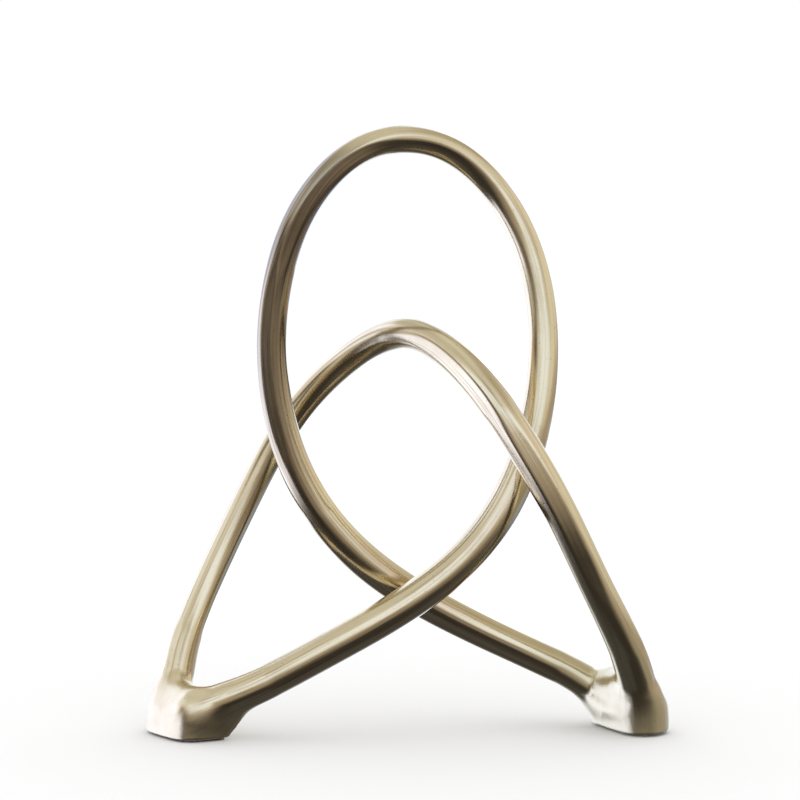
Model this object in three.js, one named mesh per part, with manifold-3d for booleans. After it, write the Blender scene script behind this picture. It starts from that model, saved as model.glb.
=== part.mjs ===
// Free-standing cast brass knot sculpture, in millimetres, +Z up, +Y away from the viewer.
// One rod runs round a closed trefoil knot: a tall loop threaded through a low arch. It stands on two
// thick feet, where the loop and the arch run into each other. The rod is ten cast sections, doweled and
// brazed end to end. The origin is on the table, midway between the feet.

import * as THREE from 'three';
import { NURBSCurve } from 'three/addons/curves/NURBSCurve.js';
import { mergeVertices } from 'three/addons/utils/BufferGeometryUtils.js';
import Module from 'manifold-3d';

const wasm = await Module();
wasm.setup();

// ---------------------------------------------------------------- driving dimensions

const ROD_SIDES = 16; // flats round the rod
const RING_SPACING = 7; // distance between the rod's rings
const BRAZE_GAP = 0.3; // seam between two cast sections
const PIN_RADIUS = 2.5;
const PIN_LENGTH = 20;
const PIN_CLEARANCE = 0.3;
const PIN_CHAMFER = 0.6;
const PAD_THICKNESS = 1;
const PAD_INSET = 2; // felt stays back from the edge of the foot
const GLUE_LINE = 0.1;
const SOLE = PAD_THICKNESS + GLUE_LINE; // height of the brass sole above the table
const FOOT_HEIGHT = 15; // top of the solid block inside each foot
const FOOT_STEPS = 40; // points round the foot's outline
const HEEL_LEAN = 0.75; // how far the heel leans out per millimetre of height
const FOOT_LAYERS = [ // the block inside a foot: [share of the outline, share of the height]
  [0, 0], [1, 0], [1.01, 0.3], [0.98, 0.6], [0.88, 0.85], [0.6, 1], [0, 1.06],
];
const LENGTH_STEPS = 3000; // steps that measure a run's length
const WELD_DISTANCE = 1e-4;
const GRIND_BOX = { length: 400, width: 200, height: 40 }; // what grinding the soles flat takes away
const LEFT_HEEL = 88; // distance of the heel's tip from the middle of the sculpture
const RIGHT_HEEL = 97;

// Control points of the rod's centreline and its radius there: [x, y, z, radius]

const LOOP_RUN = [
  [-111, -15, 12, 9.4], [-99, -17, 15, 9.0], [-74, -20, 25, 8.2], [-40, -20, 44, 8.4], // left foot
  [-5, -19, 63, 8.6], [27, -12, 85, 8.3], [50, -7, 114, 8.4], [64, 0, 151, 7.9], // passes in front, rises
  [69, 7, 189, 7.6], [66, 11, 229, 7.3], [51, 15, 266, 7.3], [21, 8, 296, 6.8], // right side of the loop
  [-20, -8, 296, 6.7], [-50, -15, 266, 6.8], [-64, -10, 231, 7.0], [-69, -6, 191, 7.2], // left side
  [-64, -1, 151, 7.7], [-49, 4, 114, 8.3], [-23, 7, 84, 8.7], [8, 15, 63, 8.8], // passes behind
  [43, 19, 45, 8.3], [78, 21, 29, 8.2], [102, 17, 18, 9.0], [113, 13, 13, 9.4], // right foot
];

const ARCH_RUN = [
  [119, 0, 5, 10.0], [117, -3, 20, 10.0], [108, -18, 44, 8.7], [89, -28, 79, 8.1], // right foot, right leg
  [73, -35, 114, 8.3], [52, -35, 150, 8.3], [29, -28, 183, 7.9], [-1, -1, 206, 7.9], // front of the loop
  [-34, 27, 185, 7.4], [-61, 35, 157, 7.7], [-80, 36, 120, 7.3], [-98, 29, 82, 7.3], // behind the loop
  [-113, 16, 47, 7.4], [-119, 3, 21, 9.1], [-120, 0, 5, 9.4], // left leg, left foot
];

// Where the cast sections meet, as distances along each run

const LOOP_JOINTS = [48, 232, 424, 511, 640, 786];
const LOOP_SECTIONS = ['front_sweep', 'right_flank', 'loop_crown', 'left_flank', 'back_sweep'];
const ARCH_JOINTS = [44, 180, 258, 455];
const ARCH_SECTIONS = ['right_leg', 'arch_crown', 'left_leg'];

// Outline of the right foot's sole, [x, y] anticlockwise from the heel; the heel's x is set per foot

const SOLE_OUTLINE = [
  [0, 19], [101, 9], [105, -2], [110, -9], [118, -10.5], [125, -8],
  [129, 0], [125.5, 9], [119, 18], [112, 24.5], [108, 26], [101, 25],
];

const CAST_BRASS = { color: 0xa39a7c, roughness: 0.32, metalness: 1 };
const PIN_BRASS = { color: 0xb29a5a, roughness: 0.4, metalness: 1 };
const FELT = { color: 0x3b372f, roughness: 0.95, metalness: 0 };

// ---------------------------------------------------------------- rod runs

/** A clamped cubic spline through space that also carries the rod's radius. */
function makeRun(points) {
  const degree = 3;
  const spans = points.length - degree;
  const knots = [0, 0, 0];
  for (let i = 0; i <= spans; i++) knots.push(i / spans);
  knots.push(1, 1, 1);
  const centre = new NURBSCurve(degree, knots, points.map(([x, y, z]) => new THREE.Vector4(x, y, z, 1)));
  const radius = new NURBSCurve(degree, knots, points.map(([, , , r]) => new THREE.Vector4(r, 0, 0, 1)));
  centre.arcLengthDivisions = LENGTH_STEPS;
  const length = centre.getLength();
  const steps = Math.round(length);
  const transported = centre.computeFrenetFrames(steps, false);

  /** Position, radius and the frame that doesn't twist along the rod, at a distance along it. */
  function station(distance) {
    const share = THREE.MathUtils.clamp(distance / length, 0, 1);
    const t = centre.getUtoTmapping(share);
    const along = centre.getTangentAt(share);
    const side = transported.normals[Math.round(share * steps)].clone();
    side.addScaledVector(along, -side.dot(along)).normalize();
    return {
      origin: centre.getPoint(t),
      radius: radius.getPoint(t).x,
      along,
      side,
      up: new THREE.Vector3().crossVectors(along, side),
    };
  }
  return { length, station };
}

/** The point at a polar offset from a station, moved along the station's own straight axis. */
function pointAt(place, offset, angle, advance) {
  return place.origin.clone()
    .addScaledVector(place.along, advance)
    .addScaledVector(place.side, offset * Math.cos(angle))
    .addScaledVector(place.up, offset * Math.sin(angle));
}

/** A closed rod between two distances along a run, with a straight dowel socket in each jointed end. */
function rodGeometry(run, from, to, socketAtStart, socketAtEnd) {
  const start = run.station(from);
  const end = run.station(to);
  const socketRadius = PIN_RADIUS + PIN_CLEARANCE;
  const socketDepth = PIN_LENGTH / 2 + PIN_CLEARANCE;
  const rings = []; // each: [station, distance from the axis, advance along the station's axis]

  if (socketAtStart) {
    rings.push([start, 0, socketDepth], [start, socketRadius, socketDepth]);
    rings.push([start, socketRadius, BRAZE_GAP / 2]);
  } else {
    rings.push([start, 0, 0]);
  }
  rings.push([start, start.radius, socketAtStart ? BRAZE_GAP / 2 : 0]);
  const steps = Math.round((to - from) / RING_SPACING);
  for (let i = 1; i < steps; i++) {
    const place = run.station(THREE.MathUtils.lerp(from, to, i / steps));
    rings.push([place, place.radius, 0]);
  }
  rings.push([end, end.radius, socketAtEnd ? -BRAZE_GAP / 2 : 0]);
  if (socketAtEnd) {
    rings.push([end, socketRadius, -BRAZE_GAP / 2]);
    rings.push([end, socketRadius, -socketDepth], [end, 0, -socketDepth]);
  } else {
    rings.push([end, 0, 0]);
  }

  const profile = rings.map(([, offset], index) => new THREE.Vector2(offset, index));
  const lathe = new THREE.LatheGeometry(profile, ROD_SIDES);
  const position = lathe.getAttribute('position');
  for (let i = 0; i < position.count; i++) {
    const ring = rings[i % rings.length];
    const angle = 2 * Math.PI * Math.floor(i / rings.length) / ROD_SIDES;
    const point = pointAt(ring[0], ring[1], angle, ring[2]);
    position.setXYZ(i, point.x, point.y, point.z);
  }
  return weld(lathe);
}

/** The same shape with its shared vertices merged and its empty triangles dropped. */
function weld(geometry) {
  geometry.deleteAttribute('normal');
  geometry.deleteAttribute('uv');
  const merged = mergeVertices(geometry, WELD_DISTANCE);
  const index = merged.getIndex().array;
  const kept = [];
  for (let i = 0; i < index.length; i += 3) {
    const [a, b, c] = [index[i], index[i + 1], index[i + 2]];
    if (a !== b && b !== c && c !== a) kept.push(a, b, c);
  }
  merged.setIndex(kept);
  return merged;
}

// ---------------------------------------------------------------- feet

/** Outline of a foot's sole; the left foot is the right one turned half a turn, with its own heel. */
function soleOutline(isLeft) {
  const corners = SOLE_OUTLINE.map(([x, y]) => new THREE.Vector3(x, y, 0));
  corners[0].x = isLeft ? LEFT_HEEL : RIGHT_HEEL;
  const turn = isLeft ? -1 : 1;
  corners.forEach((corner) => corner.multiplyScalar(turn));
  return new THREE.CatmullRomCurve3(corners, true).getPoints(FOOT_STEPS).slice(0, FOOT_STEPS);
}

/** Middle of an outline. */
function middleOf(outline) {
  const middle = new THREE.Vector3();
  outline.forEach((point) => middle.add(point));
  return middle.divideScalar(outline.length);
}

/** The solid block in a foot: upright walls on the outline, a domed top and a heel that leans out. */
function footBlock(outline, isLeft) {
  const towardsHeel = isLeft ? 1 : -1;
  const middle = middleOf(outline);
  const profile = FOOT_LAYERS.map(([spread, height]) => new THREE.Vector2(spread, height * FOOT_HEIGHT));
  const lathe = new THREE.LatheGeometry(profile, outline.length);
  const position = lathe.getAttribute('position');
  const reach = Math.max(...outline.map((point) => (point.x - middle.x) * towardsHeel));
  for (let i = 0; i < position.count; i++) {
    const [spread, height] = FOOT_LAYERS[i % FOOT_LAYERS.length];
    const rim = outline[Math.floor(i / FOOT_LAYERS.length) % outline.length];
    const point = middle.clone().lerp(rim, spread);
    const heelShare = Math.max(0, (point.x - middle.x) * towardsHeel) / reach;
    point.x += towardsHeel * HEEL_LEAN * height * FOOT_HEIGHT * heelShare;
    position.setXYZ(i, point.x, point.y, SOLE + height * FOOT_HEIGHT);
  }
  return weld(lathe);
}

function toSolid(geometry) {
  const vertProperties = new Float32Array(geometry.getAttribute('position').array);
  const triVerts = new Uint32Array(geometry.getIndex().array);
  return new wasm.Manifold(new wasm.Mesh({ numProp: 3, vertProperties, triVerts }));
}

function toGeometry(solid) {
  const mesh = solid.getMesh();
  const geometry = new THREE.BufferGeometry();
  geometry.setAttribute('position', new THREE.BufferAttribute(new Float32Array(mesh.vertProperties), 3));
  geometry.setIndex(Array.from(mesh.triVerts));
  return geometry;
}

/** A foot: the loop's end, the arch's end and the block, as one casting with a ground flat sole. */
function footGeometry(loopEnd, archEnd, isLeft) {
  const block = toSolid(footBlock(soleOutline(isLeft), isLeft));
  const casting = toSolid(loopEnd).add(toSolid(archEnd)).add(block);
  const below = new THREE.BoxGeometry(GRIND_BOX.length, GRIND_BOX.width, GRIND_BOX.height);
  below.translate(0, 0, SOLE - GRIND_BOX.height / 2);
  return toGeometry(casting.subtract(toSolid(weld(below))));
}

/** A felt pad, set back from the edge of the sole. */
function padGeometry(isLeft) {
  const outline = soleOutline(isLeft);
  const middle = middleOf(outline);
  const inset = outline.map((point) => {
    const inward = middle.clone().sub(point).setLength(PAD_INSET);
    return new THREE.Vector2(point.x + inward.x, point.y + inward.y);
  });
  return new THREE.ExtrudeGeometry(new THREE.Shape(inset), { depth: PAD_THICKNESS, bevelEnabled: false });
}

// ---------------------------------------------------------------- dowel pins

/** A round pin with chamfered ends, lying on its own Y axis. */
function pinGeometry() {
  const half = PIN_LENGTH / 2;
  const profile = [
    new THREE.Vector2(0, -half), new THREE.Vector2(PIN_RADIUS - PIN_CHAMFER, -half),
    new THREE.Vector2(PIN_RADIUS, -half + PIN_CHAMFER), new THREE.Vector2(PIN_RADIUS, half - PIN_CHAMFER),
    new THREE.Vector2(PIN_RADIUS - PIN_CHAMFER, half), new THREE.Vector2(0, half),
  ];
  return new THREE.LatheGeometry(profile, ROD_SIDES);
}

// ---------------------------------------------------------------- assembly

const sculpture = new THREE.Group();

function addMesh(name, geometry, finish) {
  const mesh = new THREE.Mesh(geometry, new THREE.MeshStandardMaterial(finish));
  mesh.name = name;
  sculpture.add(mesh);
  return mesh;
}

/** Adds the cast sections between a run's joints, and the dowel pin in each joint. */
function addRun(run, joints, sections, firstPin) {
  sections.forEach((name, i) => {
    addMesh(name, rodGeometry(run, joints[i], joints[i + 1], true, true), CAST_BRASS);
  });
  joints.forEach((distance, i) => {
    const place = run.station(distance);
    const pin = addMesh(`dowel_pin_${firstPin + i}`, pinGeometry(), PIN_BRASS);
    pin.position.copy(place.origin);
    pin.quaternion.setFromRotationMatrix(new THREE.Matrix4().makeBasis(place.up, place.along, place.side));
  });
}

const loopRun = makeRun(LOOP_RUN);
const archRun = makeRun(ARCH_RUN);
addRun(loopRun, LOOP_JOINTS, LOOP_SECTIONS, 1);
addRun(archRun, ARCH_JOINTS, ARCH_SECTIONS, LOOP_JOINTS.length + 1);

const leftFoot = footGeometry(
  rodGeometry(loopRun, 0, LOOP_JOINTS[0], false, true),
  rodGeometry(archRun, ARCH_JOINTS.at(-1), archRun.length, true, false),
  true,
);
const rightFoot = footGeometry(
  rodGeometry(loopRun, LOOP_JOINTS.at(-1), loopRun.length, true, false),
  rodGeometry(archRun, 0, ARCH_JOINTS[0], false, true),
  false,
);
addMesh('left_foot', leftFoot, CAST_BRASS);
addMesh('right_foot', rightFoot, CAST_BRASS);
addMesh('left_foot_pad', padGeometry(true), FELT);
addMesh('right_foot_pad', padGeometry(false), FELT);

export default sculpture;
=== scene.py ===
# Looks of the cast brass knot sculpture. Ten hand-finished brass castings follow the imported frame: eight
# rod sections and two feet. Each replaces its plain CAD node, ends on the same joint planes and holds the
# same dowel sockets. The frame's own rings give every centreline and radius.

import math
import random

import bmesh
import bpy
import numpy as np
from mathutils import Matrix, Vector

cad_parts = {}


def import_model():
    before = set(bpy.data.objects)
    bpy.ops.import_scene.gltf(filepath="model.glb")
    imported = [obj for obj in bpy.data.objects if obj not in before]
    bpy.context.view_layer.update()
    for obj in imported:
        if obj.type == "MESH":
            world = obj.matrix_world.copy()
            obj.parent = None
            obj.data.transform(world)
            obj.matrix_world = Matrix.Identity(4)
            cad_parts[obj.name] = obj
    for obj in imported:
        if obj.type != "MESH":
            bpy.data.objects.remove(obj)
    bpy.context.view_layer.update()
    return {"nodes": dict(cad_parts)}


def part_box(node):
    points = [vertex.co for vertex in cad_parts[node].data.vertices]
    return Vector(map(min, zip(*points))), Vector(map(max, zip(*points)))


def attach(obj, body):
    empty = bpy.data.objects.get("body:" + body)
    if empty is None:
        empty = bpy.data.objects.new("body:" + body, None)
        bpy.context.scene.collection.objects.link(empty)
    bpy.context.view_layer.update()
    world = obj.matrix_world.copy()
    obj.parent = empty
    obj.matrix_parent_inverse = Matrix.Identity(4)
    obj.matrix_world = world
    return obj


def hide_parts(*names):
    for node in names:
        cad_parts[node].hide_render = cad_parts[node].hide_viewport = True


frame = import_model()

MM = 0.001

# ---- names of the frame's nodes

LOOP_SECTIONS = ["front_sweep", "right_flank", "loop_crown", "left_flank", "back_sweep"]
ARCH_SECTIONS = ["right_leg", "arch_crown", "left_leg"]
BODY = "root"

# ---- driving dimensions, in metres

WELD = 0.01 * MM  # corners closer than this are one corner
END_BAND = 0.4 * MM  # corners this close to a joint's plane lie on the end of a rod
END_REACH = 14.0 * MM  # if they're also this close to its pin
END_CORNERS = 8  # fewer corners than this aren't an end
SOCKET_MARGIN = 1.0 * MM  # corners this close to a socket still belong to it
START_SIDE = (0.3, 0.2, 1.0)  # any direction that doesn't lie along the start of a run

ROD_SIDES = 64  # points round a rod
RING_STEP = 1.3 * MM  # distance between rings along a rod
SEAM_BAND = 0.1 * MM  # narrow first ring, which keeps the shading continuous over a seam
FLAT_RUNOUT = 42.0 * MM  # how gently a dressed flat starts and ends
FLAT_EDGE = 0.25 * MM  # softness of its edges
FLAT_CLEAR = 0.05  # how far outside the rod a flat starts, as a share of its radius
FLAT_TURN = 0.2  # least cosine from where a flat faces, which keeps it off the far side
SOCKET_CLEARANCE = 0.3 * MM  # room round a dowel pin
SOCKET_SIDES = 32  # points round a socket in a foot
TABLE_STEP = 0.25 * MM  # spacing of the tables that describe a run

FOOT_GRID = 0.8 * MM  # cell of the grid that a foot's surface is found on
BLOCK_CELLS = 5  # cells along a side of the blocks that the field is first sampled in
NET_MARGIN = 6.0 * MM  # how far the grid reaches past a foot's box
SETTLE_ROUNDS = 4  # how often the net is evened out
SETTLE_SHARE = 0.5  # how much of the way to its neighbours' middle a point moves each time
LAST_PULLS = 2  # how often its points are put back on the surface at the end
GRADIENT_STEP = 0.05 * MM
TINY = 1e-12  # keeps a division by a length safe
STRAND_STEP = 1.0 * MM  # spacing of the samples that find the nearest place on a strand
JOINT_OVERRUN = 2.0 * MM  # how far a strand runs on past its joint before it's cut
CUT_REACH = 1.7  # how far round its joint a foot is cut, in rod radii
CUT_PRECISION = 1e-7
SKIN = 0.02 * MM  # points this close to a foot's surface are on its skin
SMOOTH_COSINE = 0.5  # least cosine between a face and the skin for smooth shading

STRAND_BLEND = 9.0 * MM  # fillet where the strand meets the leg
FILLET_SHARE = 0.25  # how deep a fillet's middle lies, as a share of its blend
NEAR_TIP = 100  # rows of a run's table that lie near its tip
WEB_BLEND = 6.0 * MM  # fillet where a web meets them
BLOCK_BLEND = 6.0 * MM  # fillet where both meet the sole's block
BLOCK_TOP_ROUNDING = 8.0 * MM
BLOCK_TOP_OUTSIDE = 17.0 * MM  # top of the block at the foot's outer wall
BLOCK_TOP_HEEL = 12.0 * MM  # and at its heel
# Webs that fill a foot between strand and leg: height of the middle at the leg, height over the strand's
# tip, radius and how far it lies towards the foot's outer wall, in MM, and does it run down to the floor
WEBS = {
    "left_foot": [(18.0, 2.0, 8.5, 1.5, True)],
    "right_foot": [(18.0, 2.0, 9.2, 0.5, True), (25.0, 5.0, 10.5, -0.5, False)],
}
SHORT_WEB = (0.28, 0.62)  # a web that doesn't run down to the floor lies between these shares of the way
SOLE_ROUNDING = 1.2 * MM  # worn edge round the sole
SOLE_HEIGHT = 1.1 * MM  # top of the felt pad and its glue
HEEL_LEAN = 0.8  # how far the heel leans out per metre of height
TIP_INSET = Vector((26, 0, 14)) * MM  # tip of the strand's centreline, from the foot's outer bottom edge
LEG_INSET = Vector((11, 0, 5)) * MM  # end of the leg's centreline, from the same edge
TIP_DEPTH = 16.5 * MM  # how far in front of or behind the middle of the foot the tip is
TIP_RADIUS = 9.6 * MM
LEG_RADIUS = 10.0 * MM

# Softened rim of a felt pad: share of its height, and how far the outline is drawn in there
PAD_RIM = [(0.0, 0.35 * MM), (0.15, 0.10 * MM), (0.5, 0.0), (0.85, 0.10 * MM), (1.0, 0.35 * MM)]


# ---- reading the frame

def welded(name):
    """The mesh of a CAD node with each of its corners there only once."""
    mesh = bmesh.new()
    mesh.from_mesh(frame["nodes"][name].data)
    bmesh.ops.remove_doubles(mesh, verts=mesh.verts, dist=WELD)
    mesh.verts.index_update()
    mesh.verts.ensure_lookup_table()
    return mesh


def corners_and_links(name):
    """Corner points of a CAD node, and for each corner the corners it shares an edge with."""
    mesh = welded(name)
    points = np.array([v.co[:] for v in mesh.verts])
    linked = [[e.other_vert(v).index for e in v.link_edges] for v in mesh.verts]
    mesh.free()
    return points, linked


def along_and_away(points, centre, axis):
    """Distance of each point along an axis, and away from it."""
    along = (points - centre) @ axis
    away = np.linalg.norm(points - centre - along[:, None] * axis, axis=1)
    return along, away


def read_pins():
    """Middle, axis, radius and half length of every dowel pin."""
    pins = {}
    for name in frame["nodes"]:
        if name.startswith("dowel_pin"):
            points, _ = corners_and_links(name)
            middle = points.mean(axis=0)
            axis = np.linalg.svd(points - middle)[2][0]
            along, away = along_and_away(points, middle, axis)
            pins[name] = {"middle": middle, "axis": axis, "radius": away.max(), "half": along.max()}
    return pins


PINS = read_pins()
SOCKET_RADIUS = max(pin["radius"] for pin in PINS.values()) + SOCKET_CLEARANCE
SOCKET_DEPTH = max(pin["half"] for pin in PINS.values()) + SOCKET_CLEARANCE


def read_rings(name):
    """Centre and radius of every ring of a rod section, walked from one jointed end to the other."""
    points, linked = corners_and_links(name)
    first_ring, inside = None, set()
    for pin in PINS.values():
        along, away = along_and_away(points, pin["middle"], pin["axis"])
        outside_socket = away > SOCKET_RADIUS + SOCKET_MARGIN
        on_end = np.where((np.abs(along) < END_BAND) & outside_socket & (away < END_REACH))[0]
        if len(on_end) >= END_CORNERS:
            first_ring = set(on_end.tolist())
            in_socket = (np.abs(along) < SOCKET_DEPTH + SOCKET_MARGIN) & ~outside_socket
            inside |= set(np.where(in_socket)[0].tolist())
    rings = []
    ring, seen = first_ring, first_ring | inside
    while ring:
        corners = points[sorted(ring)]
        centre = corners.mean(axis=0)
        rings.append((*centre, np.linalg.norm(corners - centre, axis=1).mean()))
        ring = {k for corner in ring for k in linked[corner]} - seen
        seen |= ring
    return np.array(rings)


def rings_in_order(sections, start):
    """The rings of each section of a run, turned so that each section starts where the last one ends."""
    ordered = []
    end = start
    for name in sections:
        rings = read_rings(name)
        if np.linalg.norm(rings[0, :3] - end) > np.linalg.norm(rings[-1, :3] - end):
            rings = rings[::-1]
        ordered.append(rings)
        end = rings[-1, :3]
    return ordered


# ---- runs of rod

def natural_spline(knots, values, places):
    """A smooth curve through values at knots, read off at places."""
    gap = np.diff(knots)
    count = len(knots)
    system = np.eye(count)
    right = np.zeros((count, values.shape[1]))
    for i in range(1, count - 1):
        system[i, i - 1:i + 2] = gap[i - 1], 2 * (gap[i - 1] + gap[i]), gap[i]
        rise = (values[i + 1] - values[i]) / gap[i] - (values[i] - values[i - 1]) / gap[i - 1]
        right[i] = 6 * rise
    bend = np.linalg.solve(system, right)
    span = np.clip(np.searchsorted(knots, places, side="right") - 1, 0, count - 2)
    before = (places - knots[span])[:, None]
    after = (knots[span + 1] - places)[:, None]
    width = gap[span][:, None]
    return (
        (bend[span] * after**3 + bend[span + 1] * before**3) / (6 * width)
        + (values[span] / width - bend[span] * width / 6) * after
        + (values[span + 1] / width - bend[span + 1] * width / 6) * before
    )


class Run:
    """A length of rod: centre, radius and a frame that doesn't twist, at any distance along it."""

    def __init__(self, sections, start_tip, end_tip, seed, flats):
        chain = [np.array([start_tip])]
        rings = rings_in_order(sections, start_tip[:3])
        joint_rows = [1]
        seam = rings[0][:1]
        for i, section in enumerate(rings):
            chain += [seam, section[1:-1]]
            last = section[-1:]
            seam = (last + rings[i + 1][:1]) / 2 if i + 1 < len(rings) else last
            joint_rows.append(joint_rows[-1] + len(section) - 1)
        chain += [seam, np.array([end_tip])]
        knots_at = np.concatenate(chain)
        steps = np.linalg.norm(np.diff(knots_at[:, :3], axis=0), axis=1)
        knots = np.concatenate([[0], np.cumsum(steps)])
        fine = np.linspace(0, knots[-1], int(knots[-1] / TABLE_STEP))
        table = natural_spline(knots, knots_at, fine)
        moved = np.linalg.norm(np.diff(table[:, :3], axis=0), axis=1)
        self.distance = np.concatenate([[0], np.cumsum(moved)])
        self.length = self.distance[-1]
        self.joints = [float(np.interp(knots[row], fine, self.distance)) for row in joint_rows]
        self.centre = table[:, :3]
        self.radius = table[:, 3]
        self.along = np.gradient(self.centre, self.distance, axis=0)
        self.along /= np.linalg.norm(self.along, axis=1)[:, None]
        self.side = self.transported()
        self.up = np.cross(self.along, self.side)
        self.sections = sections
        self.finish = Finish(seed, len(sections) + 2)
        self.flats = flats

    def transported(self):
        """A side direction carried along the run without twist."""
        sides = np.zeros_like(self.along)
        side = np.cross(self.along[0], START_SIDE)
        for i, along in enumerate(self.along):
            side = side - along * side.dot(along)
            side /= np.linalg.norm(side)
            sides[i] = side
        return sides

    def at(self, distance):
        """Centre, along, side, up and radius at distances along the run."""
        def read(table):
            return np.stack([np.interp(distance, self.distance, table[:, k]) for k in range(3)], axis=-1)
        radius = np.interp(distance, self.distance, self.radius)
        return (*map(read, (self.centre, self.along, self.side, self.up)), radius)

    def surface_radius(self, distance, angle):
        """The rod's hand-finished radius at a distance along it and an angle round it."""
        plain = np.interp(distance, self.distance, self.radius)
        radius = plain * (1 + self.finish.height(distance, angle, self.joints, self.length))
        for section, start, end, facing, depth in self.flats:
            joint = self.joints[self.sections.index(section)]
            length = self.joints[self.sections.index(section) + 1] - joint
            weight = ramp(distance, joint + start * length, FLAT_RUNOUT)
            weight = weight * (1 - ramp(distance, joint + end * length, FLAT_RUNOUT))
            towards = np.arctan2(self.up @ facing, self.side @ facing)
            towards = np.interp(distance, self.distance, np.unwrap(towards))
            level = plain * (1 + FLAT_CLEAR - (depth + FLAT_CLEAR) * weight)
            radius = soft_min(radius, level / np.maximum(np.cos(angle - towards), FLAT_TURN), FLAT_EDGE)
        return radius


def ramp(distance, middle, width):
    """0 well before a place along a run, 1 well after it."""
    share = np.clip((distance - middle) / width + 0.5, 0, 1)
    return share * share * (3 - 2 * share)


def soft_min(a, b, blend):
    """The nearer of two shapes, with a fillet of about the blend's size where they meet."""
    h = np.clip(0.5 + 0.5 * (b - a) / blend, 0, 1)
    return b + (a - b) * h - blend * h * (1 - h)


def soft_max(a, b, blend):
    """The overlap of two shapes, with a rounded edge of about the blend's size."""
    return -soft_min(-a, -b, blend)


class Finish:
    """Soft flats and waves that casting and hand finishing leave on a run, as a share of its radius."""

    # times round the rod: how deep, and how fast it may wind along the rod, in turns per metre
    WAVES = {2: (0.014, 0.8), 3: (0.007, 1.5), 5: (0.0055, 2.0), 7: (0.0040, 3.0), 10: (0.0022, 4.0)}
    DEPTH_RANGE = (0.7, 1.3)  # a wave's depth varies by this much from section to section
    JOINT_SPREAD = 7.0 * MM  # how soon one section's waves give way to the next one's
    TIP_FADE = 16.0 * MM  # waves fade out towards a run's round tips
    SWELL = 0.007  # how much each section swells and thins along its length
    SWELL_LENGTH = 0.045  # and over what length, in metres per radian

    def __init__(self, seed, count):
        draw = random.Random(seed)
        self.sections = [self.section(draw) for _ in range(count)]

    def section(self, draw):
        """Waves and swell of one section, or of one end in a foot."""
        waves = []
        for count, (depth, winding) in self.WAVES.items():
            phase = draw.uniform(0, 2 * math.pi)
            turn = draw.uniform(-1, 1) * 2 * math.pi * winding
            waves.append((count, depth * draw.uniform(*self.DEPTH_RANGE), phase, turn))
        return waves, draw.uniform(0, 2 * math.pi)

    def height(self, distance, angle, joints, length):
        """Height over the plain rod at distances along it and angles round it."""
        total = 0
        for number, (waves, swell_phase) in enumerate(self.sections):
            weight = 1.0
            if number > 0:
                weight = weight * ramp(distance, joints[number - 1], self.JOINT_SPREAD)
            if number < len(joints):
                weight = weight * (1 - ramp(distance, joints[number], self.JOINT_SPREAD))
            height = self.SWELL * np.sin(distance / self.SWELL_LENGTH + swell_phase)
            for count, depth, phase, turn in waves:
                height = height + depth * np.sin(count * angle + phase + turn * distance)
            total = total + weight * height
        from_tip = np.minimum(distance, length - distance)
        return total * ramp(from_tip, self.TIP_FADE / 2, self.TIP_FADE)


def foot_tip(foot, side, inset, depth, radius):
    """End of a rod inside a foot, from the foot's box: side is -1 for the left foot and 1 for the right."""
    low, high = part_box(foot)
    edge = high.x if side > 0 else low.x
    return (edge - side * inset.x, depth, low.z + inset.z - SOLE_HEIGHT, radius)


# Flats dressed along the rods: section, start and end as shares of its length, the way the flat faces,
# and its depth as a share of the rod's radius
ARCH_FLATS = [
    ("right_leg", 0.24, 0.95, np.array([-0.1, -1.0, 0.25]), 0.09),
    ("arch_crown", -0.10, 0.80, np.array([-0.75, -1.0, -0.15]), 0.08),
]
LOOP_FLATS = [
    ("loop_crown", -0.05, 1.00, np.array([0.0, -1.0, -0.45]), 0.11),
    ("left_flank", 0.00, 0.75, np.array([-0.37, -0.93, 0.0]), 0.09),
]

loop_run = Run(
    LOOP_SECTIONS,
    foot_tip("left_foot", -1, TIP_INSET, -TIP_DEPTH, TIP_RADIUS),
    foot_tip("right_foot", 1, TIP_INSET, TIP_DEPTH, TIP_RADIUS),
    "loop",
    LOOP_FLATS,
)
arch_run = Run(
    ARCH_SECTIONS,
    foot_tip("right_foot", 1, LEG_INSET, 0, LEG_RADIUS),
    foot_tip("left_foot", -1, LEG_INSET, 0, LEG_RADIUS),
    "arch",
    ARCH_FLATS,
)


# ---- building meshes

def new_piece(name, points, faces, node, material):
    """A mesh piece that rides on the body and stands for its CAD node."""
    mesh = bpy.data.meshes.new(name)
    mesh.from_pydata([tuple(p) for p in points], [], [tuple(f) for f in faces])
    mesh.validate()
    piece = bpy.data.objects.new(name, mesh)
    bpy.context.scene.collection.objects.link(piece)
    mesh.materials.append(material)
    mesh.polygons.foreach_set("use_smooth", [True] * len(mesh.polygons))
    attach(piece, BODY)
    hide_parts(node)
    return piece


def store(piece, name, values):
    """Stores a number or a vector at each point of a piece, for its material to read."""
    values = np.asarray(values, np.float32)
    kind, key = ("FLOAT_VECTOR", "vector") if values.ndim == 2 else ("FLOAT", "value")
    piece.data.attributes.new(name, kind, "POINT").data.foreach_set(key, values.ravel())


def sharpen(piece, rings):
    """Marks the edges that lie within one of the given sets of points as sharp."""
    member = np.zeros(len(piece.data.vertices), int)
    for number, ring in enumerate(rings, start=1):
        member[list(ring)] = number
    for edge in piece.data.edges:
        a, b = edge.vertices
        if member[a] and member[a] == member[b]:
            edge.use_edge_sharp = True


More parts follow.
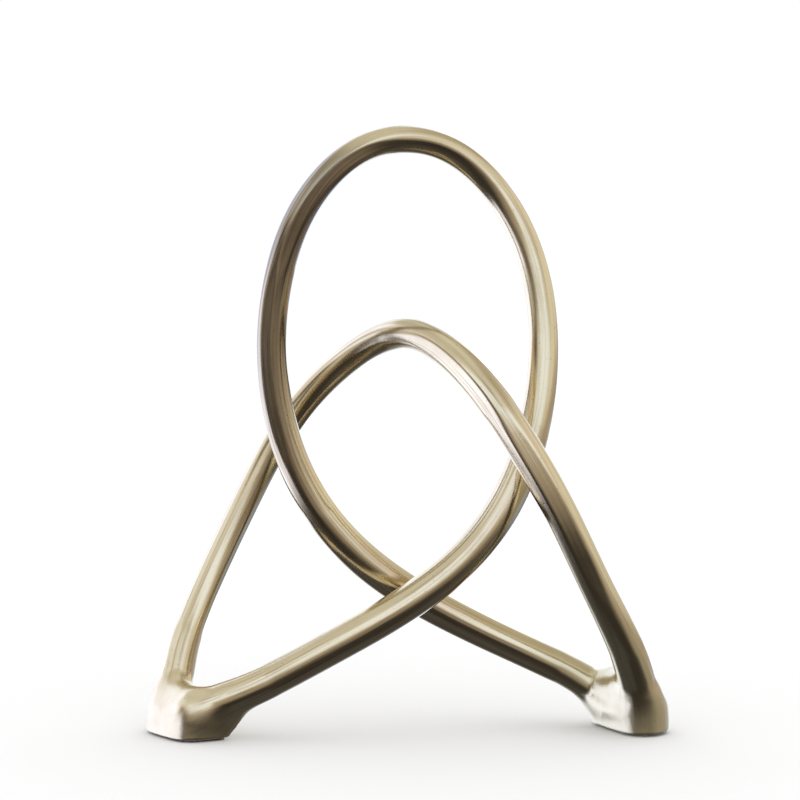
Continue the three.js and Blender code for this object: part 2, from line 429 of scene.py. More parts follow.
def tube_faces(rows, columns):
    """Faces of a tube made of rings of points, closed at each end by a fan to one more point."""
    faces = []
    for row in range(rows - 1):
        for i in range(columns):
            a, b = row * columns + i, row * columns + (i + 1) % columns
            faces.append((a, b, b + columns, a + columns))
    top = (rows - 1) * columns
    first_pole, last_pole = rows * columns, rows * columns + 1
    for i in range(columns):
        j = (i + 1) % columns
        faces.append((first_pole, j, i))
        faces.append((last_pole, top + i, top + j))
    return faces


def rod_section(run, index, material):
    """One closed rod casting between two joints, with a dowel socket in each end."""
    start, end = run.joints[index], run.joints[index + 1]
    steps = max(2, round((end - start) / RING_STEP))
    stations = np.linspace(start, end, steps + 1)
    stations = np.concatenate([[start, start + SEAM_BAND], stations[1:-1], [end - SEAM_BAND, end]])
    angle = np.linspace(0, 2 * math.pi, ROD_SIDES, endpoint=False)
    turn_side, turn_up = np.cos(angle)[None, :, None], np.sin(angle)[None, :, None]

    def ring_points(distances, radii, advance):
        centre, along, side, up, _ = run.at(distances)
        middle = centre + along * advance
        return middle[:, None] + radii[..., None] * (turn_side * side[:, None] + turn_up * up[:, None])

    outer = ring_points(stations, run.surface_radius(stations[:, None], angle[None, :]), 0)
    sockets = []
    for joint, sign in ((start, 1), (end, -1)):
        place = np.array([joint])
        width = np.full((1, ROD_SIDES), SOCKET_RADIUS)
        sockets.append((ring_points(place, width, 0), ring_points(place, width, sign * SOCKET_DEPTH)))
    (first_mouth, first_bottom), (last_mouth, last_bottom) = sockets
    grid = np.concatenate([first_bottom, first_mouth, outer, last_mouth, last_bottom])
    count = len(grid)
    points = np.concatenate([grid.reshape(-1, 3), first_bottom.mean(axis=1), last_bottom.mean(axis=1)])
    name = run.sections[index]
    faces = tube_faces(count, ROD_SIDES)
    piece = new_piece("cast_" + name, points, faces, name, material)
    _, _, _, _, plain = run.at(stations)
    round_it = np.stack([np.cos(angle), np.sin(angle)], axis=-1)[None] * plain[:, None, None]
    # the grain is where a point lies along and round the rod, in metres, and nothing inside the sockets
    grain = np.zeros((count, ROD_SIDES, 3))
    grain[2:-2, :, 0] = stations[:, None]
    grain[2:-2, :, 1:] = round_it
    store(piece, "grain", np.concatenate([grain.reshape(-1, 3), np.zeros((2, 3))]))
    sharp_rows = (0, 1, 2, count - 3, count - 2, count - 1)
    sharpen(piece, [range(row * ROD_SIDES, (row + 1) * ROD_SIDES) for row in sharp_rows])


# ---- feet

class Strand:
    """The part of a run that lies in a foot, as a distance field."""

    def __init__(self, run, joint_index, at_start):
        self.run = run
        self.joint = run.joints[joint_index]
        self.at_start = at_start
        if at_start:
            self.reach = (0.0, self.joint + JOINT_OVERRUN)
        else:
            self.reach = (self.joint - JOINT_OVERRUN, run.length)
        self.samples = np.arange(*self.reach, STRAND_STEP)

    def tip(self):
        """The end of the centreline that lies inside the foot."""
        return self.run.centre[0 if self.at_start else -1]

    def field(self, points):
        """Distance from the strand's surface, and where each point lies along and round it."""
        centre, along, _, _, _ = self.run.at(self.samples)
        nearest = np.argmin((centre**2).sum(axis=1) - 2 * points @ centre.T, axis=1)
        ahead = ((points - centre[nearest]) * along[nearest]).sum(axis=1)
        distance = np.clip(self.samples[nearest] + ahead, *self.reach)
        centre, along, side, up, _ = self.run.at(distance)
        offset = points - centre
        beyond = (offset * along).sum(axis=1)
        radial = offset - beyond[:, None] * along
        away = np.linalg.norm(radial, axis=1)
        angle = np.arctan2((radial * up).sum(axis=1), (radial * side).sum(axis=1))
        radius = self.run.surface_radius(distance, angle)
        at_tip = distance <= self.reach[0] if self.at_start else distance >= self.reach[1]
        field = np.where(at_tip, np.sqrt(away**2 + beyond**2) - radius, away - radius)
        at_joint = distance >= self.reach[1] if self.at_start else distance <= self.reach[0]
        field = np.where(at_joint, np.maximum(field, np.abs(beyond)), field)
        grain = np.stack([distance, radius * np.cos(angle), radius * np.sin(angle)], axis=-1)
        return field, grain


def sole_outline(name):
    """Outline of a CAD node's flat underside, anticlockwise."""
    mesh = welded(name)
    lowest = min(v.co.z for v in mesh.verts)
    rim = {}
    for edge in mesh.edges:
        flat = [all(v.co.z < lowest + WELD for v in f.verts) for f in edge.link_faces]
        if all(v.co.z < lowest + WELD for v in edge.verts) and sum(flat) == 1:
            a, b = edge.verts
            rim.setdefault(a.index, []).append(b.index)
            rim.setdefault(b.index, []).append(a.index)
    order, current = [min(rim)], rim[min(rim)][0]
    while current != order[0]:
        following = [k for k in rim[current] if k != order[-1]][0]
        order.append(current)
        current = following
    outline = np.array([mesh.verts[i].co[:2] for i in order])
    mesh.free()
    x, y = outline.T
    if (x * np.roll(y, -1) - y * np.roll(x, -1)).sum() < 0:
        outline = outline[::-1]
    return outline


def outline_distance(points, outline):
    """Signed distance of plan points from an anticlockwise outline, negative inside."""
    nearest = np.full(len(points), np.inf)
    inside = np.zeros(len(points), bool)
    for a, b in zip(outline, np.roll(outline, -1, axis=0)):
        edge = b - a
        share = np.clip(((points - a) @ edge) / edge.dot(edge), 0, 1)
        nearest = np.minimum(nearest, ((points - a - share[:, None] * edge) ** 2).sum(axis=1))
        crosses = (a[1] > points[:, 1]) != (b[1] > points[:, 1])
        with np.errstate(divide="ignore", invalid="ignore"):
            at = a[0] + (points[:, 1] - a[1]) / (b[1] - a[1]) * (b[0] - a[0])
        inside ^= crosses & (points[:, 0] < at)
    return np.where(inside, -1, 1) * np.sqrt(nearest)


class Foot:
    """A cast foot: a strand and a leg that run into a flat-soled block, all filleted together."""

    def __init__(self, node, side, strand, leg):
        self.node, self.side, self.strand, self.leg = node, side, strand, leg
        self.outline = sole_outline(node)
        self.low, self.high = map(np.array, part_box(node))
        self.heel = self.outline[np.argmin(side * self.outline[:, 0])]
        self.outer = side * (self.outline[:, 0] * side).max()
        self.webs = [self.place_web(*web) for web in WEBS[node]]

    def place_web(self, at_leg, at_tip, radius, shift, skirted):
        """Ends, radius and skirt of a web."""
        path = self.leg.run.centre[:NEAR_TIP] if self.leg.at_start else self.leg.run.centre[-NEAR_TIP:]
        start = self.strand.tip() + (0, 0, at_tip * MM)
        end = path[np.argmin(np.abs(path[:, 2] - at_leg * MM))]
        across = np.cross(end - start, (0, 0, 1))
        across *= self.side * np.sign(across[0]) * shift * MM / np.linalg.norm(across)
        if not skirted:
            start, end = start + (end - start) * SHORT_WEB[0], start + (end - start) * SHORT_WEB[1]
        return start + across, end + across, radius * MM, skirted

    def field(self, points):
        """Distance from the foot's surface, grain, and how far it was dressed across it, from 0 to 1."""
        strand, strand_grain = self.strand.field(points)
        leg, leg_grain = self.leg.field(points)
        height = points[:, 2] - SOLE_HEIGHT
        towards_heel = np.clip((self.outer - points[:, 0]) / (self.outer - self.heel[0]), 0, 1)
        lean = self.side * HEEL_LEAN * np.clip(height, 0, None) * towards_heel**2
        plan = np.stack([points[:, 0] + lean, points[:, 1]], axis=-1)
        top = BLOCK_TOP_OUTSIDE + (BLOCK_TOP_HEEL - BLOCK_TOP_OUTSIDE) * towards_heel
        block = soft_max(outline_distance(plan, self.outline), height - top, BLOCK_TOP_ROUNDING)
        rods = soft_min(strand, leg, STRAND_BLEND)
        for web in self.webs:
            rods = soft_min(rods, self.web(points, *web), WEB_BLEND)
        body = soft_min(rods, block, BLOCK_BLEND)
        field = soft_max(body, -height, SOLE_ROUNDING)
        share = np.clip(0.5 + 0.5 * (leg - strand) / STRAND_BLEND, 0, 1)[:, None]
        filled = np.clip((rods - np.minimum(strand, leg)) / (-FILLET_SHARE * STRAND_BLEND), 0, 1)
        dressed = np.maximum(filled, np.clip((block - rods) / (-BLOCK_BLEND) + 1, 0, 1))
        return field, strand_grain * share + leg_grain * (1 - share), dressed

    def web(self, points, start, end, radius, skirted):
        """Distance from a web: a round bar from the strand's tip to the leg, or a wall with a round top."""
        span = end[:2] - start[:2]
        share = np.clip((points[:, :2] - start[:2]) @ span / span.dot(span), 0, 1)
        offset = points - start - share[:, None] * (end - start)
        if skirted:
            offset[:, 2] = np.maximum(offset[:, 2], 0)
        return np.linalg.norm(offset, axis=1) - radius

    def gradient(self, points):
        """Outward direction of the field."""
        corners = np.array([(1, -1, -1), (-1, -1, 1), (-1, 1, -1), (1, 1, 1)])
        slope = sum(corner * self.field(points + corner * GRADIENT_STEP)[0][:, None] for corner in corners)
        return slope / (np.linalg.norm(slope, axis=1)[:, None] + TINY)


def surface_net(foot):
    """Quads on the zero surface of a foot's field, from a grid of cells."""
    low, high = foot.low - NET_MARGIN, foot.high + NET_MARGIN
    shape = np.ceil((high - low) / FOOT_GRID).astype(int) + 1
    axes = [low[k] + FOOT_GRID * np.arange(shape[k]) for k in range(3)]
    grid = np.stack(np.meshgrid(*axes, indexing="ij"), axis=-1)
    spots = grid.reshape(-1, 3)
    # the field is first sampled once in each block of cells, then exactly in the blocks near the surface
    blocks = [np.minimum(np.arange(n) // BLOCK_CELLS * BLOCK_CELLS + BLOCK_CELLS // 2, n - 1) for n in shape]
    middles, back = zip(*[np.unique(middle, return_inverse=True) for middle in blocks])
    coarse = foot.field(grid[np.ix_(*middles)].reshape(-1, 3))[0].reshape([len(m) for m in middles])
    values = coarse[np.ix_(*back)].ravel()
    near_surface = np.abs(values) < 2 * BLOCK_CELLS * FOOT_GRID
    values[near_surface] = foot.field(spots[near_surface])[0]
    values = values.reshape(shape)
    # each cell that the surface crosses gets one point, the mean of the crossings of its edges
    cells = tuple(shape - 1)
    total, hits = np.zeros(cells + (3,)), np.zeros(cells)
    corner = [slice(0, -1), slice(1, None)]
    for axis in range(3):
        others = [k for k in range(3) if k != axis]
        for i in (0, 1):
            for j in (0, 1):
                here, there = [None] * 3, [None] * 3
                here[axis], there[axis] = corner
                here[others[0]] = there[others[0]] = corner[i]
                here[others[1]] = there[others[1]] = corner[j]
                here, there = tuple(here), tuple(there)
                a, b = values[here], values[there]
                crossed = (a < 0) != (b < 0)
                share = np.where(crossed, a / np.where(crossed, a - b, 1), 0)
                place = grid[here] + share[..., None] * (grid[there] - grid[here])
                total += np.where(crossed[..., None], place, 0)
                hits += crossed
    used = hits > 0
    number = np.full(cells, -1)
    number[used] = np.arange(used.sum())
    points = total[used] / hits[used][:, None]
    # each grid edge that the surface crosses gets a quad between the points of the four cells round it
    faces = []
    for axis in range(3):
        u, v = (axis + 1) % 3, (axis + 2) % 3
        here = [slice(1, -1)] * 3
        here[axis] = slice(0, -1)
        there = list(here)
        there[axis] = slice(1, None)
        a = values[tuple(here)] < 0
        b = values[tuple(there)] < 0
        for flip, mask in ((False, a & ~b), (True, b & ~a)):
            place = np.argwhere(mask)
            place[:, [u, v]] += 1
            corners = []
            for du, dv in ((1, 1), (0, 1), (0, 0), (1, 0)):
                cell = place.copy()
                cell[:, u] -= du
                cell[:, v] -= dv
                corners.append(number[cell[:, 0], cell[:, 1], cell[:, 2]])
            quads = np.stack(corners, axis=-1)
            faces.append(quads[:, ::-1] if flip else quads)
    return points, np.concatenate(faces)


def settle(foot, points, faces):
    """Evens out the net and puts its points back on the surface."""
    edges = np.concatenate([faces[:, [k, (k + 1) % 4]] for k in range(4)])
    for _ in range(SETTLE_ROUNDS):
        total, count = np.zeros_like(points), np.zeros(len(points))
        for end, other in (edges.T, edges.T[::-1]):
            np.add.at(total, end, points[other])
            np.add.at(count, end, 1)
        normal = foot.gradient(points)
        move = total / count[:, None] - points
        move -= normal * (move * normal).sum(axis=1)[:, None]
        points = points + SETTLE_SHARE * move
        points = points - normal * foot.field(points)[0][:, None]
    for _ in range(LAST_PULLS):
        points = points - foot.gradient(points) * foot.field(points)[0][:, None]
    return points


def cut_at_joint(mesh, run, joint, outward):
    """Cuts a foot flat across a joint and closes the cut round a dowel socket."""
    centre, along, side, up, radius = (value[0] for value in run.at(np.array([joint])))
    along = along * outward
    near = [v for v in mesh.verts if (Vector(centre) - v.co).length < CUT_REACH * radius]
    near_set = set(near)
    geometry = near + [e for e in mesh.edges if near_set.issuperset(e.verts)]
    geometry += [f for f in mesh.faces if near_set.issuperset(f.verts)]
    bmesh.ops.bisect_plane(
        mesh, geom=geometry, plane_co=centre, plane_no=along, clear_outer=True, dist=CUT_PRECISION)
    rim = [e for e in mesh.edges if e.is_boundary]
    angles = np.linspace(0, 2 * math.pi, SOCKET_SIDES, endpoint=False)
    circle = [SOCKET_RADIUS * (math.cos(t) * side + math.sin(t) * up) for t in angles]
    mouth = [mesh.verts.new(centre + spoke) for spoke in circle]
    bottom = [mesh.verts.new(centre - along * SOCKET_DEPTH + spoke) for spoke in circle]
    mouth_edges = []
    for i in range(SOCKET_SIDES):
        j = (i + 1) % SOCKET_SIDES
        mouth_edges.append(mesh.edges.new((mouth[i], mouth[j])))
        mesh.faces.new((mouth[i], mouth[j], bottom[j], bottom[i]))
    mesh.faces.new(bottom)
    bmesh.ops.triangle_fill(mesh, use_beauty=True, edges=rim + mouth_edges)


def cast_foot(foot, material):
    """The finished foot casting."""
    points, faces = surface_net(foot)
    points = settle(foot, points, faces)
    mesh = bmesh.new()
    corners = [mesh.verts.new(p) for p in points]
    for face in faces:
        mesh.faces.new([corners[i] for i in face])
    bmesh.ops.recalc_face_normals(mesh, faces=mesh.faces)
    for strand in (foot.strand, foot.leg):
        cut_at_joint(mesh, strand.run, strand.joint, 1 if strand.at_start else -1)
    bmesh.ops.recalc_face_normals(mesh, faces=mesh.faces)
    bmesh.ops.triangulate(mesh, faces=[f for f in mesh.faces if len(f.verts) > 4])
    mesh.verts.index_update()
    vertices = [v.co[:] for v in mesh.verts]
    polygons = [[v.index for v in f.verts] for f in mesh.faces]
    mesh.free()
    piece = new_piece("cast_" + foot.node, vertices, polygons, foot.node, material)
    spots = np.array(vertices)
    field, grain, dressed = foot.field(spots)
    store(piece, "grain", grain)
    store(piece, "dressed", dressed)
    shade_foot(piece, foot, spots, field)


def shade_foot(piece, foot, spots, field):
    """Gives the skin its exact normals, and leaves the cut faces and sockets flat."""
    skin = np.abs(field) < SKIN
    for strand in (foot.strand, foot.leg):
        centre, along, _, _, _ = (value[0] for value in strand.run.at(np.array([strand.joint])))
        ahead, away = along_and_away(spots, centre, along)
        deep = np.abs(ahead) < SOCKET_DEPTH + SOCKET_MARGIN
        skin &= ~(deep & (away < SOCKET_RADIUS + SOCKET_MARGIN / 2))
    normals = foot.gradient(spots)
    mesh = piece.data
    loops = []
    for polygon in mesh.polygons:
        face_normal = np.array(polygon.normal)
        for corner in polygon.vertices:
            smooth = skin[corner] and normals[corner].dot(face_normal) > SMOOTH_COSINE
            loops.append(normals[corner] if smooth else face_normal)
    mesh.normals_split_custom_set([tuple(n) for n in loops])


# ---- materials

class Graph:
    """Short ways to add shader nodes to a tree."""

    MIX_INPUTS = (0, 6, 7)  # the factor and the two colours, among a mix node's inputs

    def __init__(self, tree):
        self.tree = tree

    def feed(self, socket, value):
        """Gives an input its value, which is a number, a vector, a colour or another node's output."""
        if isinstance(value, bpy.types.NodeSocket):
            self.tree.links.new(value, socket)
        elif socket.type == "RGBA" and len(value) == 3:
            socket.default_value = (*value, 1)
        else:
            socket.default_value = value

    def node(self, kind, settings=None, **inputs):
        """A node with its settings and its inputs."""
        node = self.tree.nodes.new("ShaderNode" + kind)
        for key, value in (settings or {}).items():
            setattr(node, key, value)
        self.set_inputs(node, **inputs)
        return node

    def set_inputs(self, node, **inputs):
        """Gives a node its inputs by their names."""
        for key, value in inputs.items():
            self.feed(node.inputs[key.replace("_", " ")], value)

    def math(self, operation, *values):
        """A sum or function of values."""
        node = self.node("Math", {"operation": operation})
        for socket, value in zip(node.inputs, values):
            self.feed(socket, value)
        return node.outputs[0]

    def ease(self, value, low, high):
        """0 at low and 1 at high, smoothly."""
        settings = {"interpolation_type": "SMOOTHSTEP"}
        return self.node("MapRange", settings, Value=value, From_Min=low, From_Max=high).outputs[0]

    def zone(self, *limits):
        """1 where every value has passed its limits, each a pair (clear, full), and 0 outside."""
        share = 1.0
        for value, (clear, full) in limits:
            share = self.math("MULTIPLY", share, self.ease(value, clear, full))
        return share

    def mix(self, factor, first, second):
        """A colour between two colours."""
        node = self.node("Mix", {"data_type": "RGBA"})
        for number, value in zip(self.MIX_INPUTS, (factor, first, second)):
            self.feed(node.inputs[number], value)
        return node.outputs[2]

    def cover(self, under, mask, share, colour):
        """A colour laid over another one by a share where a mask is 1."""
        return self.mix(self.math("MULTIPLY", mask, share), under, colour)

    def choose(self, factor, first, second):
        """One of two shaders."""
        node = self.node("MixShader")
        for socket, value in zip(node.inputs, (factor, first, second)):
            self.feed(socket, value)
        return node.outputs[0]

    def noise(self, vector, scale, detail=2.0, roughness=0.5):
        """A soft noise between 0 and 1, with blotches of about a metre divided by the scale."""
        noise = self.node("TexNoise", Vector=vector, Scale=scale, Detail=detail, Roughness=roughness)
        return noise.outputs[0]

    def grain(self, along, across, detail, roughness=0.5):
        """A noise drawn out along the rods, by how fine it is along and across the grain."""
        lie = self.node("Attribute", {"attribute_name": "grain"}).outputs["Vector"]
        drawn_out = self.node("VectorMath", {"operation": "MULTIPLY"})
        self.feed(drawn_out.inputs[0], lie)
        self.feed(drawn_out.inputs[1], (along, across, across))
        return self.noise(drawn_out.outputs[0], 1.0, detail, roughness)


def new_material(name):
    """A material, its graph and its surface shader."""
    material = bpy.data.materials.new(name)
    material.use_nodes = True
    return material, Graph(material.node_tree), material.node_tree.nodes["Principled BSDF"]


# The right side has gone a little greyer. These limits say where that starts and where it's full.
OLIVE_ACROSS = (50 * MM, 90 * MM)
# The upper left of the loop gets painted shade, which makes it browner
PAINTED_SHADE_ACROSS = (-10 * MM, -45 * MM)
PAINTED_SHADE_DEPTH = (16 * MM, 4 * MM)
PAINTED_SHADE_ABOVE = (110 * MM, 190 * MM)
PAINTED_SHADE_BELOW = (298 * MM, 272 * MM)
# Its shoulder gets painted shade, darker still.
SHOULDER_ACROSS = (-8 * MM, -36 * MM)
SHOULDER_ABOVE = (212 * MM, 244 * MM)
SHOULDER_BELOW = (297 * MM, 282 * MM)

DRESSED_GRAIN = -0.9  # dressing a foot across the grain takes this much of the grain away

# The fresh brass and what lies on it, from bottom to top: how much of what's below it hides, its colour
FRESH = (0.67, 0.565, 0.355)
PATINA = (0.55, (0.56, 0.46, 0.265))
DARK_LINES = (0.60, (0.36, 0.27, 0.15))
COPPER_LINES = (0.45, (0.60, 0.40, 0.27))
OLIVE = (0.6, (0.58, 0.51, 0.31))
# painted shade, brown, for the upper left of the loop
PAINTED_SHADE = (0.21, 0.165, 0.115)
PAINTED_SHADE_SHARE = (0.40, 0.45)  # how much more it hides on the darker lines, and what it hides elsewhere
# painted shade, darker, for the loop's shoulder
SHOULDER_SHADE = (0.46, (0.135, 0.100, 0.066))
SPECKS = (0.20, (0.30, 0.23, 0.13))
PITS = (0.5, (0.16, 0.12, 0.07))

# Relief, in millimetres
FLATS_DEPTH, STREAKS_DEPTH, SCRATCHES_DEPTH = 0.110, 0.036, 0.0022
DIMPLES_DEPTH, PITS_DEPTH = 0.030, -0.012

# Roughness of the polished metal, and what streaks, patina and dressing across the grain add to it
POLISHED, STREAKS_ROUGH, PATINA_ROUGH, DRESSED_ROUGH = 0.12, 0.10, 0.07, 0.15


def cast_brass():
    """Satin brass, aged: long polishing streaks, fine pits, patina in patches and on one side, and painted
    shade on the upper left of the loop and its shoulder.
    """
    material, graph, shader = new_material("cast_brass_satin")
    place = graph.node("TexCoord").outputs["Object"]
    dressed = graph.node("Attribute", {"attribute_name": "dressed"}).outputs["Fac"]
    grained = graph.math("MULTIPLY_ADD", dressed, DRESSED_GRAIN, 1.0)
    streaks = graph.grain(14, 650, 2.0)
    pits = graph.ease(graph.noise(place, 900.0, 1.0), 0.70, 0.80)
    patches = graph.ease(graph.noise(place, 26.0, 4.0, 0.6), 0.42, 0.72)
    relief = brass_relief(graph, place, grained, streaks, pits)
    bump = graph.node("Bump", Height=relief, Distance=MM, Strength=1.0).outputs[0]
    colour = brass_colour(graph, place, grained, patches, pits)
    rough = graph.math("MULTIPLY_ADD", streaks, STREAKS_ROUGH, POLISHED)
    rough = graph.math("MULTIPLY_ADD", patches, PATINA_ROUGH, rough)
    rough = graph.math("MULTIPLY_ADD", dressed, DRESSED_ROUGH, rough)
    graph.set_inputs(shader, Base_Color=colour, Roughness=rough, Normal=bump, Metallic=1)
    return material


def brass_relief(graph, place, grained, streaks, pits):
    """Height of flats, streaks and scratches along the grain, and of dimples and pits."""
    height = graph.math("MULTIPLY", graph.grain(9, 210, 1.0), FLATS_DEPTH)
    height = graph.math("MULTIPLY_ADD", streaks, STREAKS_DEPTH, height)
    height = graph.math("MULTIPLY_ADD", graph.grain(45, 2600, 2.0, 0.6), SCRATCHES_DEPTH, height)
    height = graph.math("MULTIPLY", height, grained)
    height = graph.math("MULTIPLY_ADD", graph.noise(place, 160.0, 1.0), DIMPLES_DEPTH, height)
    return graph.math("MULTIPLY_ADD", pits, PITS_DEPTH, height)


def brass_colour(graph, place, grained, patches, pits):
    """Colour of the brass under its patina, lines, painted shade, specks and pits."""
    lines = graph.math("MULTIPLY", graph.ease(graph.grain(11, 800, 3.0, 0.6), 0.47, 0.66), grained)
    copper = graph.math("MULTIPLY", graph.ease(graph.grain(7, 300, 2.0), 0.55, 0.75), grained)
    colour = graph.cover(FRESH, patches, *PATINA)
    colour = graph.cover(colour, lines, *DARK_LINES)
    colour = graph.cover(colour, copper, *COPPER_LINES)
    x, y, z = graph.node("SeparateXYZ", Vector=place).outputs
    colour = graph.cover(colour, graph.ease(x, *OLIVE_ACROSS), *OLIVE)
    # painted shade on the upper left of the loop
    painted_shade_zone = graph.zone(
        (x, PAINTED_SHADE_ACROSS), (y, PAINTED_SHADE_DEPTH), (z, PAINTED_SHADE_ABOVE), (z, PAINTED_SHADE_BELOW))
    colour = graph.cover(colour, painted_shade_zone, graph.math("MULTIPLY_ADD", lines, *PAINTED_SHADE_SHARE), PAINTED_SHADE)
    # painted shade on the loop's shoulder
    shoulder_shade = graph.zone((x, SHOULDER_ACROSS), (z, SHOULDER_ABOVE), (z, SHOULDER_BELOW))
    colour = graph.cover(colour, shoulder_shade, *SHOULDER_SHADE)
    specks = graph.ease(graph.noise(place, 1300.0, 2.0), 0.62, 0.74)
    colour = graph.cover(colour, specks, *SPECKS)
    return graph.cover(colour, pits, *PITS)


def pin_brass():
    """Drawn brass bar: finely scored, with faint stains."""
    material, graph, shader = new_material("drawn_brass")
    place = graph.node("TexCoord").outputs["Object"]
    scores = graph.noise(place, 2400.0, 3.0, 0.6)
    stains = graph.ease(graph.noise(place, 140.0, 3.0), 0.45, 0.7)
    colour = graph.mix(stains, (0.62, 0.47, 0.20), (0.50, 0.36, 0.16))
    rough = graph.math("MULTIPLY_ADD", scores, 0.2, 0.25)
    bump = graph.node("Bump", Height=scores, Distance=0.01 * MM).outputs[0]
    graph.set_inputs(shader, Base_Color=colour, Roughness=rough, Normal=bump, Metallic=1)
    return material


def felt():
    """Brown wool felt: matted fibres and a soft sheen."""
    material, graph, shader = new_material("felt_brown")
    place = graph.node("TexCoord").outputs["Object"]
    fibres = graph.noise(place, 2600.0, 5.0, 0.75)
    mottling = graph.noise(place, 300.0, 3.0)
    blend = graph.math("MULTIPLY_ADD", mottling, 0.5, graph.math("MULTIPLY", fibres, 0.5))
    colour = graph.mix(blend, (0.022, 0.018, 0.013), (0.085, 0.070, 0.052))
    bump = graph.node("Bump", Height=fibres, Distance=0.25 * MM).outputs[0]
    graph.set_inputs(shader, Base_Color=colour, Roughness=0.95, Normal=bump, Sheen_Weight=0.3)
    return material


# ---- putting the object together

def felt_pad(name, material):
    """A thin die-cut felt pad with a softened rim, on the outline of its CAD node."""
    low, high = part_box(name)
    outline = sole_outline(name)
    middle = outline.mean(axis=0)
    ahead = np.roll(outline, -1, axis=0) - np.roll(outline, 1, axis=0)
    inward = np.column_stack([-ahead[:, 1], ahead[:, 0]])
    inward = inward / np.linalg.norm(inward, axis=1)[:, None]
    rings = []
    for share, inset in PAD_RIM:
        height = np.full(len(outline), low.z + share * (high.z - low.z))
        rings.append(np.column_stack([outline + inward * inset, height]))
    points = np.concatenate(rings + [[(*middle, low.z)], [(*middle, high.z)]])
    new_piece("felt_" + name, points, tube_faces(len(rings), len(outline)), name, material)


def castings():
    """The eight rod sections and the two feet."""
    brass = cast_brass()
    for run in (loop_run, arch_run):
        for index in range(len(run.sections)):
            rod_section(run, index, brass)
    cast_foot(Foot("left_foot", -1, Strand(loop_run, 0, True), Strand(arch_run, -1, False)), brass)
    cast_foot(Foot("right_foot", 1, Strand(loop_run, -1, False), Strand(arch_run, 0, True)), brass)


def pads():
    """The felt under each foot."""
    wool = felt()
    for name in ("left_foot_pad", "right_foot_pad"):
        felt_pad(name, wool)


def pins():
    """The dowel pins keep the frame's shape and get a material of their own."""
    bar = pin_brass()
    for name in PINS:
        mesh = frame["nodes"][name].data
        mesh.materials.clear()
        mesh.materials.append(bar)


castings()
pads()
pins()


# ---- floor, light and camera

FLOOR_SIZE = 4.0  # half its side
FLOOR_WHITE = 0.8
ROOM_LIGHT = 1.27  # with the floor's white, this shows as a soft white


def floor():
    """A plain pale floor that runs out to the horizon."""
    mesh = bpy.data.meshes.new("floor")
    corners = [(x * FLOOR_SIZE, y * FLOOR_SIZE, 0) for x, y in ((-1, -1), (1, -1), (1, 1), (-1, 1))]
    mesh.from_pydata(corners, [], [(0, 1, 2, 3)])
    piece = bpy.data.objects.new("floor", mesh)
    bpy.context.scene.collection.objects.link(piece)
    material, graph, shader = new_material("pale_floor")
    graph.set_inputs(shader, Base_Color=(FLOOR_WHITE,) * 3, Roughness=1.0, Specular_IOR_Level=0.0)
    mesh.materials.append(material)
    piece.visible_glossy = False


# The room that the metal reflects: (elevation in degrees, colour), straight down to straight up
ROOM = [
    (-90, (0.09, 0.09, 0.10)),
    (-40, (0.09, 0.09, 0.10)),
    (-24, (0.15, 0.135, 0.13)),
    (-12, (0.32, 0.28, 0.26)),
    (0, (0.56, 0.50, 0.47)),
    (6, (0.80, 0.78, 0.78)),
    (14, (0.98, 0.98, 1.00)),
    (40, (0.88, 0.90, 0.94)),
    (55, (0.80, 0.82, 0.85)),
    (90, (0.95, 0.98, 1.00)),
]
WINDOW = (1.67, 1.88, 2.85)

# Windows, lamps and furniture in that room: soft-edged patches laid over it in this order. Angles are in
# degrees. Azimuth is 0 behind the camera and grows to the left. After each name: azimuth, elevation, half
# width, half height, softness sideways and upwards, colour, and how solid the patch is.
CARDS = {
    "table edge": (0, 1, 62, 1, 10, 6, (0.46, 0.40, 0.37), 0.8),
    "camera shadow": (0, -36, 58, 17, 20, 8, (0.050, 0.045, 0.045), 1.0),
    "front softbox": (-2, 23, 40, 14, 8, 5, (1.22, 1.38, 1.80), 1.0),
    "softbox gap": (-10, 38, 11, 6, 5, 3, (0.60, 0.60, 0.62), 0.8),
    "left ceiling": (85, 33, 26, 9, 8, 5, (1.15, 1.25, 1.55), 0.9),
    "left curtain": (44, -10, 10, 9, 6, 4, (0.16, 0.14, 0.14), 1.0),
    "left window low": (99, -19, 38, 16, 5, 5, WINDOW, 1.0),
    "left window": (110, 5, 25, 15, 4, 4, WINDOW, 1.0),
    "left window top": (127, 32, 18, 13, 5, 4, WINDOW, 1.0),
    "left back wall": (158, 2, 24, 42, 6, 6, (1.40, 1.58, 2.05), 1.0),
    "left door": (43, 3, 12, 6, 5, 3, (0.15, 0.13, 0.12), 1.0),
    "left door top": (64, 14, 12, 6, 5, 3, (0.14, 0.115, 0.11), 1.0),
    "right back window": (-162, 8, 14, 40, 6, 6, (1.6, 1.9, 2.6), 1.0),
    "right wall": (-88, 20, 34, 16, 8, 5, (1.02, 1.00, 1.00), 1.0),
    "right shelf": (-90, 3, 36, 1, 10, 2.5, (0.62, 0.54, 0.48), 0.8),
    "right wood": (-92, -6, 30, 2, 10, 2.5, (0.70, 0.60, 0.52), 0.9),
    "right ceiling": (-90, 52, 40, 12, 14, 8, (0.60, 0.56, 0.48), 0.9),
    "back low": (180, -44, 44, 10, 12, 6, (0.34, 0.34, 0.36), 0.8),
    "right low": (-92, -18, 32, 9, 10, 5, (0.50, 0.48, 0.44), 0.85),
    "right grey": (-130, -10, 12, 6, 5, 4, (0.72, 0.72, 0.90), 1.0),
    "right sky": (-116, -24, 26, 4, 6, 3, (0.42, 0.50, 0.75), 1.0),
    "right glow": (-95, -40, 16, 3, 6, 3, (0.30, 0.23, 0.17), 1.0),
}


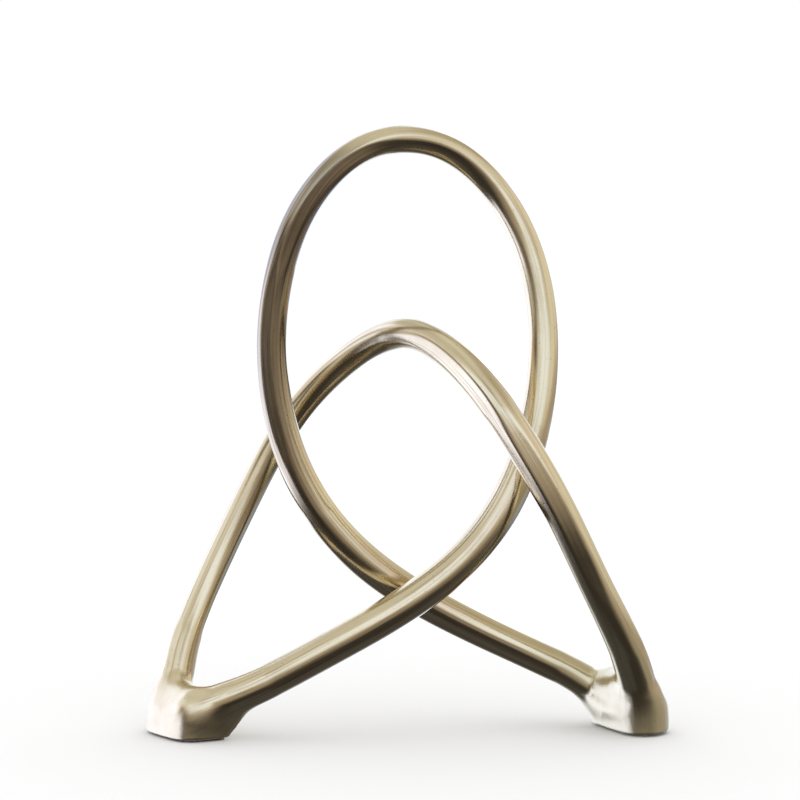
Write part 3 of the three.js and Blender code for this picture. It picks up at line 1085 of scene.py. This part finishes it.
def world():
    """Soft white light for the floor and the eye, and a room for the metal to reflect."""
    studio = bpy.data.worlds.new("studio")
    bpy.context.scene.world = studio
    studio.use_nodes = True
    tree = studio.node_tree
    tree.nodes.clear()
    graph = Graph(tree)

    x, y, z = graph.node("SeparateXYZ", Vector=graph.node("TexCoord").outputs["Generated"]).outputs
    azimuth = graph.math("ARCTAN2", graph.math("MULTIPLY", x, -1.0), graph.math("MULTIPLY", y, -1.0))
    elevation = graph.math("ARCSINE", z)

    bands = graph.node("ValToRGB")
    stops = bands.color_ramp.elements
    while len(stops) < len(ROOM):
        stops.new(0.5)  # each stop gets its own place below
    for stop, (angle, colour) in zip(stops, ROOM):
        stop.position = angle / 180 + 0.5
        stop.color = (*colour, 1)
    graph.feed(bands.inputs[0], graph.math("MULTIPLY_ADD", elevation, 1 / math.pi, 0.5))

    total = bands.outputs[0]
    for az, el, wide, tall, side_soft, up_soft, colour, solid in CARDS.values():
        sideways = graph.math("WRAP", graph.math("SUBTRACT", azimuth, math.radians(az)), math.pi, -math.pi)
        upwards = graph.math("SUBTRACT", elevation, math.radians(el))
        mask = solid
        for offset, half, soft in ((sideways, wide, side_soft), (upwards, tall, up_soft)):
            clear, full = math.radians(half + soft), math.radians(half - soft)
            mask = graph.math("MULTIPLY", graph.ease(graph.math("ABSOLUTE", offset), clear, full), mask)
        total = graph.mix(mask, total, colour)

    reflected = graph.node("Background", Color=total).outputs[0]
    light = graph.node("Background", Color=(ROOM_LIGHT,) * 3).outputs[0]
    seen = graph.node("Background", Color=(ROOM_LIGHT * FLOOR_WHITE,) * 3).outputs[0]
    path = graph.node("LightPath")
    unseen = graph.choose(path.outputs["Is Glossy Ray"], light, reflected)
    final = graph.choose(path.outputs["Is Camera Ray"], unseen, seen)
    output = graph.node("OutputWorld")
    graph.feed(output.inputs["Surface"], final)


LENS = 81.54  # millimetres, on a sensor of the next width
SENSOR_WIDTH = 36
VIEW_POINT = (-0.004, -0.9, 0.187)
LOOKING_DOWN = 1.36  # degrees
FARTHEST = 20.0


def camera():
    """The viewing point: level with the upper half of the object, in front of it."""
    data = bpy.data.cameras.new("camera")
    data.lens = LENS
    data.sensor_width = SENSOR_WIDTH
    data.clip_end = FARTHEST
    piece = bpy.data.objects.new("camera", data)
    piece.location = VIEW_POINT
    piece.rotation_euler = (math.radians(90 - LOOKING_DOWN), 0, 0)
    bpy.context.scene.collection.objects.link(piece)
    bpy.context.scene.camera = piece


floor()
world()
camera()
bpy.context.scene.view_settings.view_transform = "Standard"
bpy.context.scene.view_settings.look = "None"
